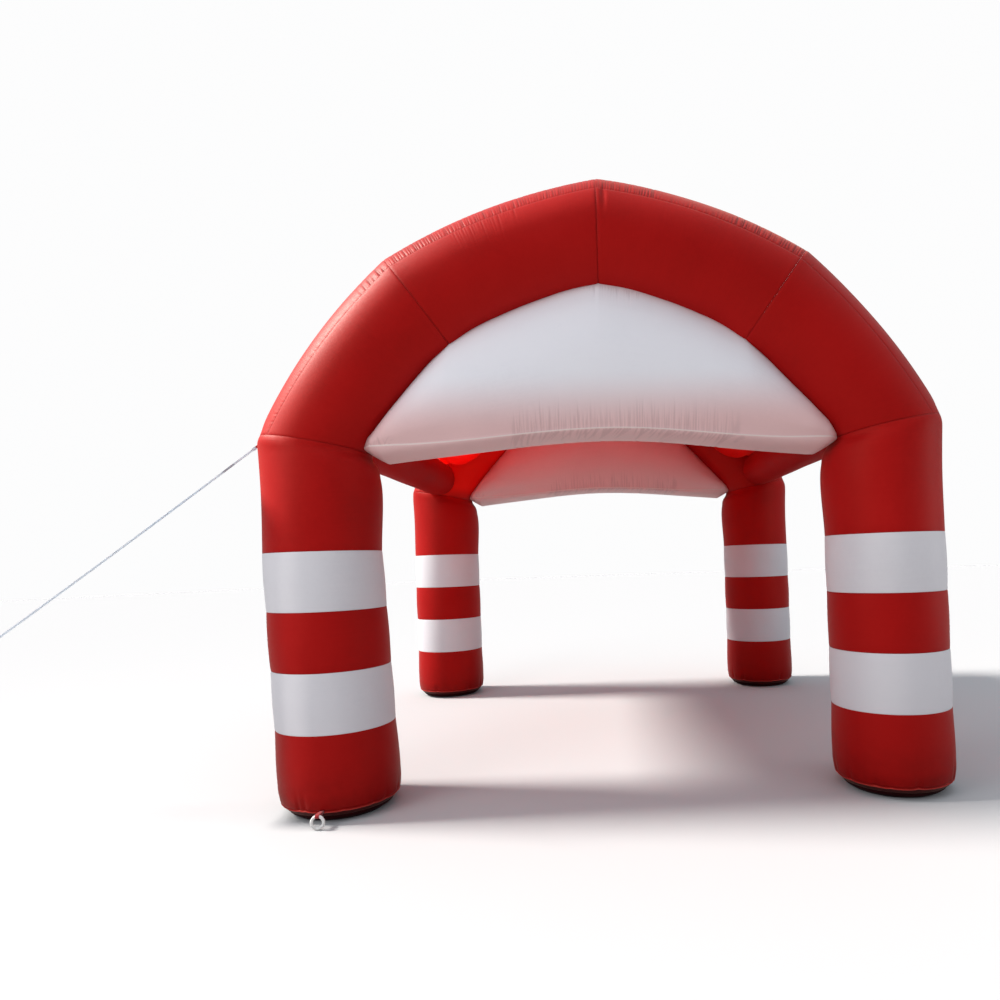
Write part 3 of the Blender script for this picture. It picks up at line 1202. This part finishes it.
# Studio. A plain pale floor in front of a plain white backdrop. A distant soft lamp from the left lights the
# flanks, wide soft boxes stand in front on the left and on the right, and the sky is brightest overhead.
# The floor keeps out of reflected light: a grey sheet under it gives that, so that little comes from below.
FLOOR_SIZE = 120.0
SHEET_GAP = 0.004
BACKDROP_RADIUS = 58.0
BACKDROP_DROP = 5.0
SUN_HEADING = math.radians(95.0)    # from straight ahead of the front, round to the left
SUN_HEIGHT = math.radians(43.0)
SUN_SOFTNESS = math.radians(12.0)
FLAG_OFF = 0.30             # how far the flag stands from the leg
SHADE_LOW, SHADE_TOP = 0.20, 2.10    # how high up the leg's left side its shade begins and ends


def on_stage(name, build, unseen_by, finish=None):
    """Puts a studio piece in the scene, and keeps it out of some kinds of light."""
    mesh = bpy.data.meshes.new(name)
    build.to_mesh(mesh)
    build.free()
    if finish:
        mesh.materials.append(finish)
    piece = bpy.data.objects.new(name, mesh)
    bpy.context.scene.collection.objects.link(piece)
    for kind in unseen_by:
        setattr(piece, "visible_" + kind, False)


def flat_sheet(name, height, colour, *unseen_by):
    """A wide level sheet of one even colour."""
    build = bmesh.new()
    bmesh.ops.create_grid(build, x_segments=1, y_segments=1, size=FLOOR_SIZE / 2)
    bmesh.ops.translate(build, verts=build.verts[:], vec=(0.0, 0.0, height))
    finish, shader = new_finish(name)[:2]
    feed(shader, Base_Color=colour, Roughness=0.9, Specular_IOR_Level=0.0)
    on_stage(name, build, unseen_by, finish)


def lamp(name, kind, power, place, toward, **settings):
    """A lamp at a place. Its light comes from the direction toward."""
    light = bpy.data.lights.new(name, kind)
    light.energy = power
    for key, value in settings.items():
        setattr(light, key, value)
    stand = bpy.data.objects.new(name, light)
    bpy.context.scene.collection.objects.link(stand)
    stand.location = place
    stand.rotation_euler = toward.to_track_quat("Z", "Y").to_euler()


flat_sheet("pale_floor", 0.0, (0.47, 0.475, 0.485, 1.0), "diffuse", "glossy", "shadow")
flat_sheet("grey_sheet", -SHEET_GAP, (0.29, 0.28, 0.28, 1.0), "camera")

world = bpy.data.worlds.new("studio")
bpy.context.scene.world = world
world.use_nodes = True
background = world.node_tree.nodes["Background"]
background.inputs["Color"].default_value = (0.88, 0.93, 1.0, 1.0)
toward = Shade(world.node_tree.nodes.new("ShaderNodeTexCoord").outputs["Generated"])
strength = toward.part(2).between(0.0, 0.9) * 0.68 + 0.25
world.node_tree.links.new(strength.socket, background.inputs["Strength"])

build = bmesh.new()
bmesh.ops.create_uvsphere(build, u_segments=64, v_segments=32, radius=BACKDROP_RADIUS)
bmesh.ops.translate(build, verts=build.verts[:], vec=(0.0, 0.0, -BACKDROP_DROP))
bmesh.ops.reverse_faces(build, faces=build.faces[:])
for face in build.faces:
    face.smooth = True
backdrop_finish, shader = new_finish("white_backdrop")[:2]
feed(shader, Base_Color=(0.0, 0.0, 0.0, 1.0), Specular_IOR_Level=0.0)
feed(shader, Emission_Color=(0.98, 0.98, 0.983, 1.0), Emission_Strength=1.0)
on_stage("backdrop", build, ("diffuse", "glossy", "transmission", "shadow"), backdrop_finish)

toward_sun = Vector((
    -math.sin(SUN_HEADING) * math.cos(SUN_HEIGHT), -math.cos(SUN_HEADING) * math.cos(SUN_HEIGHT),
    math.sin(SUN_HEIGHT),
))
lamp("key", "SUN", 6.5, (0.0, 0.0, 0.0), toward_sun, angle=SUN_SOFTNESS, color=(1.0, 0.95, 0.89))
for name, place_of_box, aim, size, power in (
    ("left_soft_box", (-6.0, -6.4, 5.2), (-1.2, -1.9, 2.4), 4.5, 190.0),
    ("right_soft_box", (8.5, -3.2, 2.6), (2.0, -1.6, 1.4), 4.0, 70.0),
):
    lamp(name, "AREA", power, place_of_box, Vector(place_of_box) - Vector(aim), shape="DISK", size=size)

# a flag beside the front left leg keeps the key lamp off it below its upper panel
low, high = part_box("front_left_leg_high_band")
build = bmesh.new()
bmesh.ops.create_grid(build, x_segments=1, y_segments=1, size=0.5)
bmesh.ops.scale(build, verts=build.verts[:], vec=(SHADE_TOP - SHADE_LOW, high.y - low.y, 1.0))
bmesh.ops.rotate(build, verts=build.verts[:], matrix=Matrix.Rotation(math.pi / 2, 3, "Y"))
bmesh.ops.translate(build, verts=build.verts[:], vec=(
    low.x - FLAG_OFF, (low.y + high.y) / 2 - FLAG_OFF * toward_sun.y / toward_sun.x,
    (SHADE_LOW + SHADE_TOP) / 2 - FLAG_OFF * toward_sun.z / toward_sun.x,
))
on_stage("flag", build, ("camera", "diffuse", "glossy", "transmission"))
bpy.context.scene.view_settings.view_transform = "Standard"
